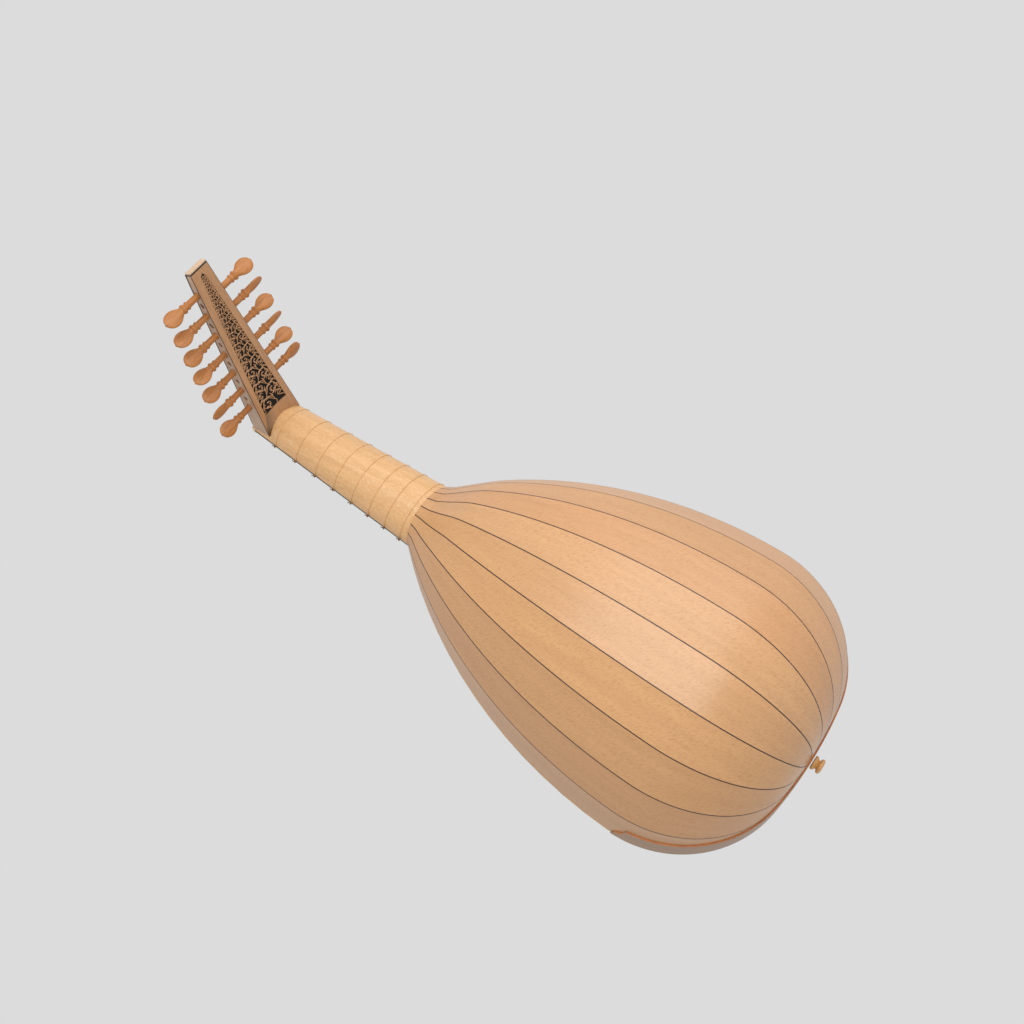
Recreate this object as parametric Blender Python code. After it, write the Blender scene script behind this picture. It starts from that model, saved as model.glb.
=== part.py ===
"""A seven-course lute lying on its strings, back up.

+X runs from the tail to the pegbox, +Y to the treble side and +Z up to the back of the bowl.
The origin is under the middle of the lute, on the surface that the bridge rests on.
"""

import math

import bmesh
import bpy
import numpy as np
from mathutils import Matrix, Vector

MM = 0.001
GAP = 0.3  # clear space left between neighbouring pieces, in millimetres like every length below

STRING_LENGTH = 580.0
BODY_LENGTH = 455.0
NECK_LENGTH = 226.2
HALF_WIDTH = 162.4
WIDEST_AT = 121.6  # distance of the widest place from the tail
CORNER_RADIUS = 118.6
JOINT_HALF_WIDTH = 39.0
NUT_HALF_WIDTH = 26.3
BOWL_DEPTH_RATIO = 0.94  # depth over half width, along most of the bowl
JOINT_DEPTH_RATIO = 0.79
JOINT_SLANT = 0.165  # the neck joint leans towards the pegbox by this much for each unit of depth

RIB_COUNT = 11
RIB_THICKNESS = 1.6
TAIL_OPENING = 7.0  # the rib tips stop this far from the point where they would all meet
BOARD_THICKNESS = 1.7
BRIDGE_HEIGHT = 7.0
ROSE_FROM_TAIL = 283.0
BAR_PLACES = (176.0, 226.0, 352.0)
BAR_HEIGHT = 15.0
BLOCK_LENGTH = 44.0

CLASP_HEIGHT = 20.0
CLASP_THICKNESS = 1.4
CLASP_REACH = 117.0  # how far the clasp runs up each side, from the tail
BUTTON_HEIGHT = 10.5

FINGERBOARD_THICKNESS = 2.0
NECK_EXPONENTS = (1.95, 1.65)  # of the section's curve: 2 is an ellipse. At the joint, at the nut
NUT_THICKNESS = 4.0
NUT_RISE = 4.5
FRET_COUNT = 8
FRET_RADIUS = 0.45

PEGBOX_BEND = math.radians(81.3)
PEGBOX_LENGTH = 233.0
PEGBOX_START_HEIGHT = 5.3
PEGBOX_HALF_WIDTHS = (25.1, 11.0)
PEGBOX_BACKS = (23.5, 8.2)  # the back's distance from the pegbox line, at the foot and at the tip
PEGBOX_DEPTHS = (24.3, 9.4)
CHEEK_THICKNESS = 4.6
BACK_THICKNESS = 1.5
CAP_THICKNESS = 4.0
CAP_SLANT = 4.0  # the tip is this much shorter at its front than at its back

PEG_COUNTS = {"treble": 7, "bass": 6}
FIRST_PEG = 41.3
PEG_SPACING = 26.8
PEG_BACK_OFFSETS = (12.9, 5.0)  # peg axis below the back's outer face, at the foot and at the tip
PEG_RADIUS = 3.4
PEG_TAPER = 1 / 60  # radius lost for each unit of length
PEG_CLEARANCE = 0.25
PEG_TURNS = {
    "treble": (42, -15, 62, 72, 55, 68, 60),
    "bass": (-5, 62, -27, 66, -25, 60),
}  # how far each peg is turned, in degrees, counted from the nut

COURSES = 7
NUT_SPAN = 40.0
BRIDGE_SPAN = 104.0
NUT_PAIR = 2.6
BRIDGE_PAIR = 5.6
STRING_RADII = (0.22, 0.6)  # first course, last course
STRING_DROP = 5.0  # string height off the soundboard at the bridge

BOARD_FACE = BRIDGE_HEIGHT
BOWL_BASE = BOARD_FACE + BOARD_THICKNESS + GAP / 2
NECK_FACE = BOARD_FACE + FINGERBOARD_THICKNESS + GAP
NUT_X = BODY_LENGTH + NECK_LENGTH
NECK_END = NUT_X + NUT_THICKNESS
BRIDGE_X = NUT_X - STRING_LENGTH
SIDE_DROP = HALF_WIDTH - JOINT_HALF_WIDTH
SIDE_RADIUS = ((BODY_LENGTH - WIDEST_AT) ** 2 + SIDE_DROP**2) / (2 * SIDE_DROP)
CORNER_CENTRE = (WIDEST_AT, HALF_WIDTH - CORNER_RADIUS)
TAIL_RADIUS = (math.hypot(*CORNER_CENTRE) ** 2 - CORNER_RADIUS**2) / (2 * (WIDEST_AT - CORNER_RADIUS))
TANGENT_ANGLE = math.atan2(CORNER_CENTRE[1], TAIL_RADIUS - CORNER_CENTRE[0])


def clear_scene():
    for obj in list(bpy.data.objects):
        bpy.data.objects.remove(obj, do_unlink=True)


def finish_material(name, colour, roughness, metallic=0.0):
    material = bpy.data.materials.new(name)
    material.use_nodes = True
    shader = material.node_tree.nodes["Principled BSDF"]
    shader.inputs["Base Color"].default_value = (*colour, 1)
    shader.inputs["Roughness"].default_value = roughness
    shader.inputs["Metallic"].default_value = metallic
    material.diffuse_color = (*colour, 1)
    return material


def add_object(name, mesh, material, parent):
    obj = bpy.data.objects.new(name, mesh)
    bpy.context.scene.collection.objects.link(obj)
    if material:
        mesh.materials.append(material)
    obj.parent = parent
    return obj


def mesh_from(name, bm, smooth=True):
    bmesh.ops.recalc_face_normals(bm, faces=bm.faces[:])
    mesh = bpy.data.meshes.new(name)
    bm.to_mesh(mesh)
    bm.free()
    if smooth:
        mesh.shade_smooth()
        mesh.set_sharp_from_angle(angle=math.radians(35))
    return mesh


def loft_into(bm, rings):
    """Adds a closed skin over rings of points in millimetres, with a cap on the first and last."""
    loops = [[bm.verts.new(Vector(point) * MM) for point in ring] for ring in rings]
    count = len(loops[0])
    for near, far in zip(loops, loops[1:]):
        for i in range(count):
            j = (i + 1) % count
            bm.faces.new((near[i], near[j], far[j], far[i]))
    bm.faces.new(loops[0][::-1])
    bm.faces.new(loops[-1])


def loft(name, rings, material, parent, smooth=True):
    bm = bmesh.new()
    loft_into(bm, rings)
    return add_object(name, mesh_from(name, bm, smooth), material, parent)


def cutter(name, shapes, parent):
    """One hidden mesh that holds every closed shape, each given as rings."""
    bm = bmesh.new()
    for rings in shapes:
        loft_into(bm, rings)
    obj = add_object(name, mesh_from(name, bm, smooth=False), None, parent)
    obj.hide_render = True
    obj.display_type = "WIRE"
    return obj


def cut(obj, tool):
    boolean = obj.modifiers.new("cut_" + tool.name, "BOOLEAN")
    boolean.operation = "DIFFERENCE"
    boolean.object = tool


def mix(pair, share):
    return pair[0] + (pair[1] - pair[0]) * share


def smooth_step(value):
    value = min(max(value, 0.0), 1.0)
    return value * value * (3 - 2 * value)


# --- the bowl's outline: three tangent arcs, and the same arcs moved inwards ---


def outline_angles(tail_steps=4, corner_steps=8, side_steps=12):
    """(arc, angle) pairs from the tail to the neck joint. Angles are counted from the tail, in plan."""
    first = math.asin(TAIL_OPENING / TAIL_RADIUS)
    side_end = math.asin((BODY_LENGTH - WIDEST_AT) / SIDE_RADIUS)
    tail = [("tail", a) for a in np.linspace(first, TANGENT_ANGLE, tail_steps, endpoint=False)]
    corner = [("corner", a) for a in np.linspace(TANGENT_ANGLE, math.pi / 2, corner_steps, endpoint=False)]
    side = [("side", math.pi / 2 + a) for a in np.linspace(0, side_end, side_steps + 1)]
    return tail + corner + side


def outline_point(arc, angle, inset=0.0):
    """(distance from the tail, half width) on the outline moved inwards by inset."""
    centre, radius = {
        "tail": ((TAIL_RADIUS, 0.0), TAIL_RADIUS),
        "corner": (CORNER_CENTRE, CORNER_RADIUS),
        "side": ((WIDEST_AT, HALF_WIDTH - SIDE_RADIUS), SIDE_RADIUS),
    }[arc]
    radius -= inset
    return centre[0] - radius * math.cos(angle), centre[1] + radius * math.sin(angle)


def depth_ratio(station):
    share = (station / BODY_LENGTH - 0.88) / 0.12
    return mix((BOWL_DEPTH_RATIO, JOINT_DEPTH_RATIO), smooth_step(share))


def half_width_at(station):
    """Half width of the outline at this distance from the tail."""
    if station >= WIDEST_AT:
        return HALF_WIDTH - SIDE_RADIUS + math.sqrt(SIDE_RADIUS**2 - (station - WIDEST_AT) ** 2)
    tangent = TAIL_RADIUS * (1 - math.cos(TANGENT_ANGLE))
    if station >= tangent:
        return CORNER_CENTRE[1] + math.sqrt(CORNER_RADIUS**2 - (station - WIDEST_AT) ** 2)
    return math.sqrt(max(TAIL_RADIUS**2 - (station - TAIL_RADIUS) ** 2, 0))


def bowl_point(arc, angle, around, inset=0.0, side_shift=0.0):
    """A point of the bowl's section polygon, moved sideways round the section by side_shift."""
    station, width = outline_point(arc, angle, inset)
    ratio = depth_ratio(station)
    y, z = width * math.cos(around), width * ratio * math.sin(around)
    lean = math.atan2(ratio * math.sin(around), math.cos(around))
    return (station, y - side_shift * math.sin(lean), BOWL_BASE + z + side_shift * math.cos(lean))


def at_joint(points, step_back):
    """Slides the ring at the neck joint onto the joint's leaning plane."""
    return [(BODY_LENGTH - step_back + JOINT_SLANT * (z - BOARD_FACE), y, z) for _, y, z in points]


def make_rib(number, material, parent):
    around = [math.pi * (number - 1) / RIB_COUNT, math.pi * number / RIB_COUNT]
    rings = []
    for arc, angle in outline_angles():
        rings.append(
            [
                bowl_point(arc, angle, around[0], 0, GAP / 2),
                bowl_point(arc, angle, around[1], 0, -GAP / 2),
                bowl_point(arc, angle, around[1], RIB_THICKNESS, -GAP / 2),
                bowl_point(arc, angle, around[0], RIB_THICKNESS, GAP / 2),
            ]
        )
    rings[-1] = at_joint(rings[-1], GAP / 2)
    return loft(f"rib_{number:02d}", rings, material, parent)


def make_soundboard(material, parent):
    edge = [outline_point(*place) for place in outline_angles(6, 10, 14)]
    edge[-1] = (BODY_LENGTH - GAP / 2, JOINT_HALF_WIDTH)
    plan = [(0.0, 0.0)] + edge + [(x, -y) for x, y in reversed(edge)]
    rings = [[(x, y, z) for x, y in plan] for z in (BOARD_FACE, BOARD_FACE + BOARD_THICKNESS)]
    board = loft("soundboard", rings, material, parent, smooth=False)
    holes = []
    for count, ring_radius, hole_radius in ((1, 0, 5.5), (6, 16.5, 5.0), (12, 33, 5.4)):
        for i in range(count):
            turn = 2 * math.pi * i / count
            centre = (ROSE_FROM_TAIL + ring_radius * math.cos(turn), ring_radius * math.sin(turn))
            holes.append(round_hole(centre, hole_radius))
    cut(board, cutter("rose_cutter", holes, parent))
    return board


def round_hole(centre, radius, sides=10):
    turns = [2 * math.pi * (i + 0.5) / sides for i in range(sides)]
    ring = [(centre[0] + radius * math.cos(t), centre[1] + radius * math.sin(t)) for t in turns]
    return [[(x, y, z) for x, y in ring] for z in (BOARD_FACE - 3, BOARD_FACE + BOARD_THICKNESS + 3)]


def make_bar(number, station, material, parent):
    """A brace across the inside of the soundboard, cut away at both ends."""
    reach = half_width_at(station) - RIB_THICKNESS - 3
    low = BOARD_FACE + BOARD_THICKNESS + GAP
    profile = [
        (-reach, low),
        (reach, low),
        (reach, low + 3),
        (reach - 26, low + BAR_HEIGHT),
        (26 - reach, low + BAR_HEIGHT),
        (-reach, low + 3),
    ]
    rings = [[(station + side, y, z) for y, z in profile] for side in (-2.5, 2.5)]
    return loft(f"bar_{number}", rings, material, parent, smooth=False)


def make_neck_block(material, parent):
    inset = RIB_THICKNESS + 1.4
    rings = []
    for station in np.linspace(BODY_LENGTH - BLOCK_LENGTH, BODY_LENGTH - GAP, 5):
        width = half_width_at(station) - inset
        ratio = depth_ratio(station)
        turns = [math.pi * i / RIB_COUNT for i in range(RIB_COUNT + 1)]
        rings.append(
            [(station, width * math.cos(t), BOWL_BASE + GAP / 2 + width * ratio * math.sin(t)) for t in turns]
        )
    rings[-1] = at_joint(rings[-1], GAP)
    return loft("neck_block", rings, material, parent, smooth=False)


# --- end clasp and strap button ---


def section_reach(width, ratio, height):
    """Half width of the bowl's faceted section at a height over its base, or None above its top."""
    turns = [math.pi * i / RIB_COUNT for i in range(RIB_COUNT // 2 + 1)]
    corners = [(width * math.cos(t), width * ratio * math.sin(t)) for t in turns]
    for (y0, z0), (y1, z1) in zip(corners, corners[1:]):
        if height <= z1:
            return y0 + (y1 - y0) * (height - z0) / (z1 - z0)
    return None


def clasp_row(height, outward, steps=22):
    """One level line of the clasp from the treble side round the tail to the bass side."""
    top_ratio = BOWL_DEPTH_RATIO * math.sin(math.pi * (RIB_COUNT // 2) / RIB_COUNT)
    start_width = height / top_ratio + 0.01
    start = TAIL_RADIUS - math.sqrt(TAIL_RADIUS**2 - start_width**2)
    half = []
    for i in range(steps + 1):
        station = start + (CLASP_REACH - start) * (i / steps) ** 2
        reach = section_reach(half_width_at(station), BOWL_DEPTH_RATIO, height)
        half.append((station, reach or 0.0))
    half[0] = (start, half[0][1])
    line = [Vector((x, y, 0)) for x, y in reversed(half)] + [Vector((x, -y, 0)) for x, y in half]
    row = []
    for i, point in enumerate(line):
        along = line[min(i + 1, len(line) - 1)] - line[max(i - 1, 0)]
        normal = Vector((along.y, -along.x, 0)).normalized()
        row.append(point + normal * outward + Vector((0, 0, BOWL_BASE + height)))
    return row


def make_clasp(material, parent):
    heights = (0.0, CLASP_HEIGHT * 0.5, CLASP_HEIGHT)
    inner = [clasp_row(h, GAP + 0.15) for h in heights]
    outer = [clasp_row(h, GAP + 0.15 + CLASP_THICKNESS) for h in heights]
    rings = []
    for i in range(len(inner[0])):
        rings.append([row[i] for row in inner] + [row[i] for row in reversed(outer)])
    return loft("end_clasp", rings, material, parent)


def make_button(material, parent):
    """A turned knob on the tail, made by spinning its profile."""
    face = GAP + 0.15 + CLASP_THICKNESS + GAP + 0.1
    neck = [(6.4, 3.1), (4.6, 4.5), (5.0, 5.5)]
    profile = [(0, 0), (6.4, 0), (7.2, 1.4)] + neck + [(7.4, 6.9), (7.6, 9.0), (5.6, 10.4), (0, 10.4)]
    bm = bmesh.new()
    verts = [bm.verts.new((0, radius * MM, along * MM)) for radius, along in profile]
    edges = [bm.edges.new(pair) for pair in zip(verts, verts[1:])]
    bmesh.ops.spin(bm, geom=verts + edges, cent=(0, 0, 0), axis=(0, 0, 1), angle=2 * math.pi, steps=16)
    bmesh.ops.remove_doubles(bm, verts=bm.verts[:], dist=0.01 * MM)
    button = add_object("strap_button", mesh_from("strap_button", bm), material, parent)
    button.rotation_euler = (0, -math.pi / 2, 0)
    button.location = Vector((-face, 0, BOWL_BASE + BUTTON_HEIGHT)) * MM
    return button


# --- neck, fingerboard, nut, bridge, frets ---


def neck_share(x):
    return (x - BODY_LENGTH) / NECK_LENGTH


def neck_half_width(x):
    return mix((JOINT_HALF_WIDTH, NUT_HALF_WIDTH), neck_share(x))


def neck_section(x, grow=0.0, steps=16, low=NECK_FACE):
    """Points round the back of the neck from the treble edge to the bass edge."""
    width = neck_half_width(x) + grow
    depth = neck_half_width(x) * JOINT_DEPTH_RATIO + grow
    power = 2 / mix(NECK_EXPONENTS, neck_share(x))
    first = math.asin(min(1, ((low - BOARD_FACE) / depth) ** (1 / power)))
    points = []
    for a in np.linspace(first, math.pi - first, steps + 1):
        across = math.copysign(abs(math.cos(a)) ** power, math.cos(a))
        points.append((x, width * across, BOARD_FACE + depth * math.sin(a) ** power))
    return points


def make_neck(material, parent, pegbox_space):
    rings = [neck_section(x) for x in np.linspace(BODY_LENGTH, NECK_END, 5)]
    joint = at_joint(rings[0], -GAP / 2)
    rings[0] = [neck_section(x)[i] for i, (x, _, _) in enumerate(joint)]
    neck = loft("neck", rings, material, parent)
    cut(neck, pegbox_space)
    return neck


def make_fingerboard(material, parent):
    ends = (BODY_LENGTH + GAP / 2, NUT_X - GAP)
    rings = []
    for x in ends:
        width = neck_half_width(x)
        top = BOARD_FACE + FINGERBOARD_THICKNESS
        rings.append([(x, -width, BOARD_FACE), (x, width, BOARD_FACE), (x, width, top), (x, -width, top)])
    return loft("fingerboard", rings, material, parent, smooth=False)


def box_rings(low, high):
    (x0, y0, z0), (x1, y1, z1) = low, high
    return [[(x0, y0, z), (x1, y0, z), (x1, y1, z), (x0, y1, z)] for z in (z0, z1)]


def make_nut(strings, material, parent):
    width = NUT_HALF_WIDTH - 0.4
    crown = BOARD_FACE - NUT_RISE
    nut = loft(
        "nut",
        box_rings((NUT_X, -width, crown), (NECK_END, width, NECK_FACE - GAP)),
        material,
        parent,
        smooth=False,
    )
    slots = []
    for string in strings:
        half = string["radius"] + 0.3
        y = string["nut_y"]
        top = string["nut_z"] + half
        slots.append(box_rings((NUT_X - 2, y - half, crown - 2), (NECK_END + 2, y + half, top)))
    cut(nut, cutter("nut_slot_cutter", slots, parent))
    return nut


def make_bridge(material, parent):
    """A low bar on the soundboard, thin at its long tapering ends."""
    rings = []
    for y, depth, rise in ((-82, 4, 1.6), (-64, 8, 2.4), (-60, 15, 7), (60, 15, 7), (64, 8, 2.4), (82, 4, 1.6)):
        base = BOARD_FACE - GAP
        front = BRIDGE_X - GAP
        low = BOARD_FACE - rise
        rings.append([(front - depth, y, base), (front, y, base), (front, y, low), (front - depth, y, low)])
    return loft("bridge", rings, material, parent, smooth=False)


def fret_place(number):
    return NUT_X - STRING_LENGTH * (1 - 2 ** (-number / 12))


def make_fret(number, material, parent):
    """A loop of gut tied round the neck and the fingerboard."""
    x = fret_place(number)
    reach = GAP + FRET_RADIUS
    back = neck_section(x, reach, steps=14, low=BOARD_FACE + 4)
    edge = neck_half_width(x) + reach + 0.2
    corner = [(edge, FINGERBOARD_THICKNESS + 0.2), (edge, 0.2), (edge - 0.35, -reach * 0.75), (edge - 1.3, -reach)]
    front = [(x, -y, BOARD_FACE + lift) for y, lift in corner]
    front += [(x, y, BOARD_FACE + lift) for y, lift in reversed(corner)]
    points = back + front
    curve = bpy.data.curves.new(f"fret_{number}", "CURVE")
    curve.dimensions = "3D"
    spline = curve.splines.new("POLY")
    spline.points.add(len(points) - 1)
    for place, (_, y, z) in zip(spline.points, points):
        place.co = (0, y * MM, z * MM, 1)
    spline.use_cyclic_u = True
    curve.bevel_depth = FRET_RADIUS * MM
    curve.bevel_resolution = 1
    fret = add_object(f"fret_{number}", curve, material, parent)
    fret.location.x = x * MM
    return fret


# --- pegbox: points are given as (along, sideways, towards the back) on its own bent line ---

BEND = (math.cos(PEGBOX_BEND), math.sin(PEGBOX_BEND))


def pegbox_point(along, y, back):
    x = NUT_X + along * BEND[0] - back * BEND[1]
    z = BOARD_FACE + PEGBOX_START_HEIGHT + along * BEND[1] + back * BEND[0]
    return (x, y, z)


def pegbox_share(along):
    return along / PEGBOX_LENGTH


def pegbox_half_width(along):
    return mix(PEGBOX_HALF_WIDTHS, pegbox_share(along))


def pegbox_back(along):
    return mix(PEGBOX_BACKS, pegbox_share(along))


def pegbox_front(along):
    return pegbox_back(along) - mix(PEGBOX_DEPTHS, pegbox_share(along))


def tip_point(y, deep, inset):
    """A point on the slanting tip, or on a plane that is inset from it. Deep is measured from the back."""
    along = PEGBOX_LENGTH - inset - CAP_SLANT * deep / PEGBOX_DEPTHS[1]
    return pegbox_point(along, y, PEGBOX_BACKS[1] - deep)


def make_pegbox_space(parent):
    """The corner that is cut from the end of the neck to seat the pegbox."""
    rings = []
    for y in (-60, 60):
        corners = ((-GAP, pegbox_back(0) + GAP), (90, pegbox_back(90) + GAP), (90, -60), (-GAP, -60))
        rings.append([pegbox_point(along, y, back) for along, back in corners])
    return cutter("pegbox_seat_cutter", [rings], parent)


def peg_places():
    """(side, number, distance along the pegbox) of each peg, counted from the nut."""
    places = []
    for side, count in PEG_COUNTS.items():
        start = FIRST_PEG + (0 if side == "treble" else PEG_SPACING / 2)
        places += [(side, i + 1, start + PEG_SPACING * i) for i in range(count)]
    return places


def peg_axis(along):
    return pegbox_back(along) - mix(PEG_BACK_OFFSETS, pegbox_share(along))


def peg_radius(along, y):
    """Radius of the shaft at y, where +y points to the peg's own head."""
    return PEG_RADIUS - (pegbox_half_width(along) - y) * PEG_TAPER


def peg_holes(cheek_side):
    """Cutters for the tapered peg holes through one cheek."""
    shapes = []
    for side, _, along in peg_places():
        own = 1 if side == cheek_side else -1
        out = 1 if cheek_side == "treble" else -1
        outer, inner = pegbox_half_width(along) + 2, pegbox_half_width(along) - CHEEK_THICKNESS - 2
        rings = []
        for y in (inner, outer):
            radius = peg_radius(along, own * y) + PEG_CLEARANCE
            turns = [2 * math.pi * (i + 0.5) / 16 for i in range(16)]
            rings.append(
                [pegbox_point(along + radius * math.cos(t), out * y, peg_axis(along) + radius * math.sin(t)) for t in turns]
            )
        shapes.append(rings)
    return shapes


def make_cheek(side, material, parent):
    out = 1 if side == "treble" else -1
    step = BACK_THICKNESS + GAP
    rings = []
    for along, outer in zip((0, PEGBOX_LENGTH), PEGBOX_HALF_WIDTHS):
        inner = outer - CHEEK_THICKNESS
        depth = mix(PEGBOX_DEPTHS, pegbox_share(along))
        corners = ((outer, depth), (outer, step), (inner, step), (inner, depth))
        if along:
            rings.append([tip_point(out * y, deep, CAP_THICKNESS + GAP) for y, deep in corners])
        else:
            rings.append([pegbox_point(0, out * y, PEGBOX_BACKS[0] - deep) for y, deep in corners])
    cheek = loft(f"pegbox_{side}_cheek", rings, material, parent, smooth=False)
    cut(cheek, cutter(f"{side}_peg_hole_cutter", peg_holes(side), parent))
    return cheek


def make_pegbox_back(material, parent):
    """The plate behind the pegs, pierced along its middle."""
    rings = []
    for along, width in zip((0, PEGBOX_LENGTH), PEGBOX_HALF_WIDTHS):
        corners = ((width, 0), (-width, 0), (-width, BACK_THICKNESS), (width, BACK_THICKNESS))
        if along:
            rings.append([tip_point(y, deep, CAP_THICKNESS + GAP) for y, deep in corners])
        else:
            rings.append([pegbox_point(0, y, PEGBOX_BACKS[0] - deep) for y, deep in corners])
    plate = loft("pegbox_back", rings, material, parent, smooth=False)
    openings = []
    along = 24.0
    while along < PEGBOX_LENGTH - 24:
        half_width = pegbox_half_width(along) * 0.75 - 3.0
        half_length = half_width * 0.62
        middle = along + half_length
        turns = [2 * math.pi * (i + 0.5) / 10 for i in range(10)]
        outline = [(middle + half_length * math.cos(t), half_width * math.sin(t)) for t in turns]
        openings.append(
            [[pegbox_point(s, y, pegbox_back(s) + lift) for s, y in outline] for lift in (-BACK_THICKNESS - 2, 2)]
        )
        along += 2 * half_length + 2.2
    cut(plate, cutter("back_piercing_cutter", openings, parent))
    return plate


def make_pegbox_cap(material, parent):
    width, depth = PEGBOX_HALF_WIDTHS[1], PEGBOX_DEPTHS[1]
    corners = ((width, depth), (width, 0), (-width, 0), (-width, depth))
    rings = [[tip_point(y, deep, inset) for y, deep in corners] for inset in (CAP_THICKNESS, 0)]
    return loft("pegbox_end_cap", rings, material, parent, smooth=False)


def make_peg(side, number, along, material, parent):
    """A tapered shaft with a turned collar and a flat head, along its own +Y."""
    cheek = pegbox_half_width(along)
    shaft = [(y, peg_radius(along, y)) for y in (-cheek + 0.6, cheek + 12)]
    rings = [(-cheek, shaft[0][1] - 0.6, shaft[0][1] - 0.6)] + [(y, r, r) for y, r in shaft]
    turned = ((13.3, 4.6), (16.2, 4.6), (17.4, 3.7), (18.6, 5.2), (21, 5.2))
    rings += [(cheek + y, r, r) for y, r in turned]
    head = ((22.4, 4.0, 3.8), (28, 7.4, 3.2), (33.5, 8.7, 2.7), (38.5, 7.6, 2.3), (42, 3.6, 1.8), (44, 1, 0.9))
    rings += [(cheek + y, wide, thick) for y, wide, thick in head]
    turns = [2 * math.pi * i / 12 for i in range(12)]
    rings = [[(wide * math.cos(t), y, thick * math.sin(t)) for t in turns] for y, wide, thick in rings]
    peg = loft(f"peg_{side}_{number}", rings, material, parent)
    turn = Matrix.Rotation(math.radians(PEG_TURNS[side][number - 1]) - PEGBOX_BEND, 4, "Y")
    if side == "bass":
        turn = turn @ Matrix.Rotation(math.pi, 4, "Z")
    peg.matrix_local = Matrix.Translation(Vector(pegbox_point(along, 0, peg_axis(along))) * MM) @ turn
    return peg


# --- strings: one single course and six pairs, shared out between the pegs ---


def string_plan():
    """Where each string crosses the bridge and the nut, and which peg it goes to."""
    strings = []
    pegs = sorted(peg_places(), key=lambda place: place[2])
    for course in range(COURSES):
        share = course / (COURSES - 1)
        radius = mix(STRING_RADII, share)
        for side in (0,) if course == 0 else (1, -1):
            strings.append(
                {
                    "name": f"string_{course + 1}" + {0: "", 1: "a", -1: "b"}[side],
                    "radius": radius,
                    "bridge_y": BRIDGE_SPAN * (0.5 - share) + side * BRIDGE_PAIR / 2,
                    "nut_y": NUT_SPAN * (0.5 - share) + side * NUT_PAIR / 2,
                    "nut_z": BOARD_FACE - NUT_RISE + radius + 0.5,
                }
            )
    # The outer strings go to the pegs nearest the nut and the middle ones to the far pegs.
    order = sorted(strings, key=lambda string: -abs(string["nut_y"]))
    for string, (_, _, along) in zip(order, pegs):
        string["peg_along"] = along
    return strings


def make_string(string, material, parent):
    along = string["peg_along"]
    landing = peg_axis(along) - PEG_RADIUS - GAP - string["radius"]
    room = pegbox_half_width(along) - CHEEK_THICKNESS - 2
    points = [
        (BRIDGE_X, string["bridge_y"], BOARD_FACE - STRING_DROP),
        (NUT_X, string["nut_y"], string["nut_z"]),
        (NECK_END, string["nut_y"], string["nut_z"]),
        (NECK_END + 1.6, string["nut_y"], string["nut_z"] + 1.4),
        pegbox_point(along, max(-room, min(room, string["nut_y"] * 0.7)), landing),
    ]
    curve = bpy.data.curves.new(string["name"], "CURVE")
    curve.dimensions = "3D"
    spline = curve.splines.new("POLY")
    spline.points.add(len(points) - 1)
    for place, point in zip(spline.points, points):
        place.co = (*(Vector(point) * MM), 1)
    curve.bevel_depth = string["radius"] * MM
    curve.bevel_resolution = 1
    curve.use_fill_caps = True
    return add_object(string["name"], curve, material, parent)


def stand_on_origin(root):
    """Moves the whole lute so that the origin is under the middle of its box."""
    bpy.context.view_layer.update()
    graph = bpy.context.evaluated_depsgraph_get()
    corners = []
    for obj in root.children:
        if obj.hide_render:
            continue
        evaluated = obj.evaluated_get(graph)
        mesh = evaluated.to_mesh()
        points = np.empty(len(mesh.vertices) * 3, np.float32)
        mesh.vertices.foreach_get("co", points)
        evaluated.to_mesh_clear()
        world = np.array(obj.matrix_world)
        corners.append(points.reshape(-1, 3) @ world[:3, :3].T + world[:3, 3])
    everything = np.concatenate(corners)
    low, high = everything.min(axis=0), everything.max(axis=0)
    root.location = (-float(low[0] + high[0]) / 2, -float(low[1] + high[1]) / 2, -float(low[2]))


def main():
    clear_scene()
    lacewood = finish_material("lacewood", (0.56, 0.32, 0.17), 0.35)
    spruce = finish_material("spruce", (0.72, 0.53, 0.30), 0.5)
    maple = finish_material("maple", (0.72, 0.46, 0.22), 0.35)
    boxwood = finish_material("boxwood", (0.62, 0.30, 0.10), 0.3)
    pearwood = finish_material("pearwood", (0.40, 0.21, 0.11), 0.4)
    ebony = finish_material("ebony", (0.02, 0.017, 0.015), 0.3)
    bone = finish_material("bone", (0.82, 0.76, 0.62), 0.35)
    gut = finish_material("gut", (0.70, 0.52, 0.28), 0.4)

    root = bpy.data.objects.new("lute", None)
    bpy.context.scene.collection.objects.link(root)

    for number in range(1, RIB_COUNT + 1):
        make_rib(number, lacewood, root)
    make_soundboard(spruce, root)
    for number, station in enumerate(BAR_PLACES, start=1):
        make_bar(number, station, spruce, root)
    make_neck_block(spruce, root)
    make_clasp(lacewood, root)
    make_button(boxwood, root)
    make_neck(maple, root, make_pegbox_space(root))
    make_fingerboard(ebony, root)
    make_bridge(pearwood, root)
    strings = string_plan()
    make_nut(strings, bone, root)
    for number in range(1, FRET_COUNT + 1):
        make_fret(number, gut, root)
    for side in PEG_COUNTS:
        make_cheek(side, maple, root)
    make_pegbox_back(maple, root)
    make_pegbox_cap(maple, root)
    for side, number, along in peg_places():
        make_peg(side, number, along, boxwood, root)
    for string in strings:
        make_string(string, gut, root)
    stand_on_origin(root)


main()
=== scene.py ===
import math

import bpy
from mathutils import Matrix, Vector


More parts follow.
